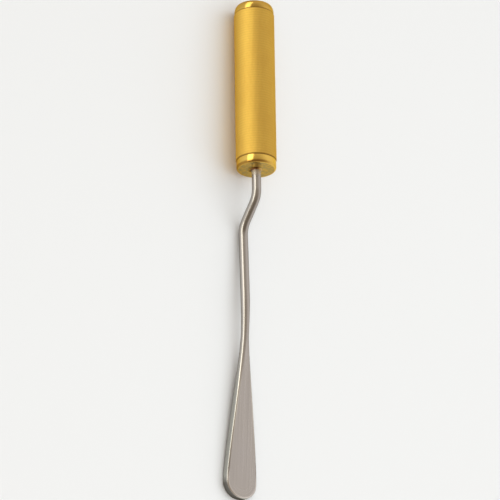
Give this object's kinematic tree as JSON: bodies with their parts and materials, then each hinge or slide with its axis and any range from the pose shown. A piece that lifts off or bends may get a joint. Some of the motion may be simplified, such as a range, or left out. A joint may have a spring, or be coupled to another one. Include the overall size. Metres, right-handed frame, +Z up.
{
  "type": "dental elevator",
  "caption": "Hand-held dental elevator: a knurled brass handle, a cranked stainless steel shank and a flat paddle blade with a round tip.",
  "frame": {"origin": "on the resting surface, under the middle of the instrument as it lies", "axes": "+Z up, +Y towards the butt of the handle, so the blade points along -Y with its face up, +X to the right as seen from the blade end looking along +Y"},
  "size_m": [0.022, 0.281, 0.025],
  "materials": {
    "knurled_brass": "fine knurl, satin",
    "turned_brass": "turned and polished",
    "stainless_steel": "satin, brushed lengthwise",
    "braze": "cast fillet, dulled by heat",
    "pin_steel": "ground"
  },
  "bodies": {
    "root": {"grip_sleeve": "knurled_brass", "front_cap": "turned_brass", "butt_cap": "turned_brass", "shank_blade": "stainless_steel", "braze_ring": "braze", "cross_pin": "pin_steel"}
  },
  "joints": []
}
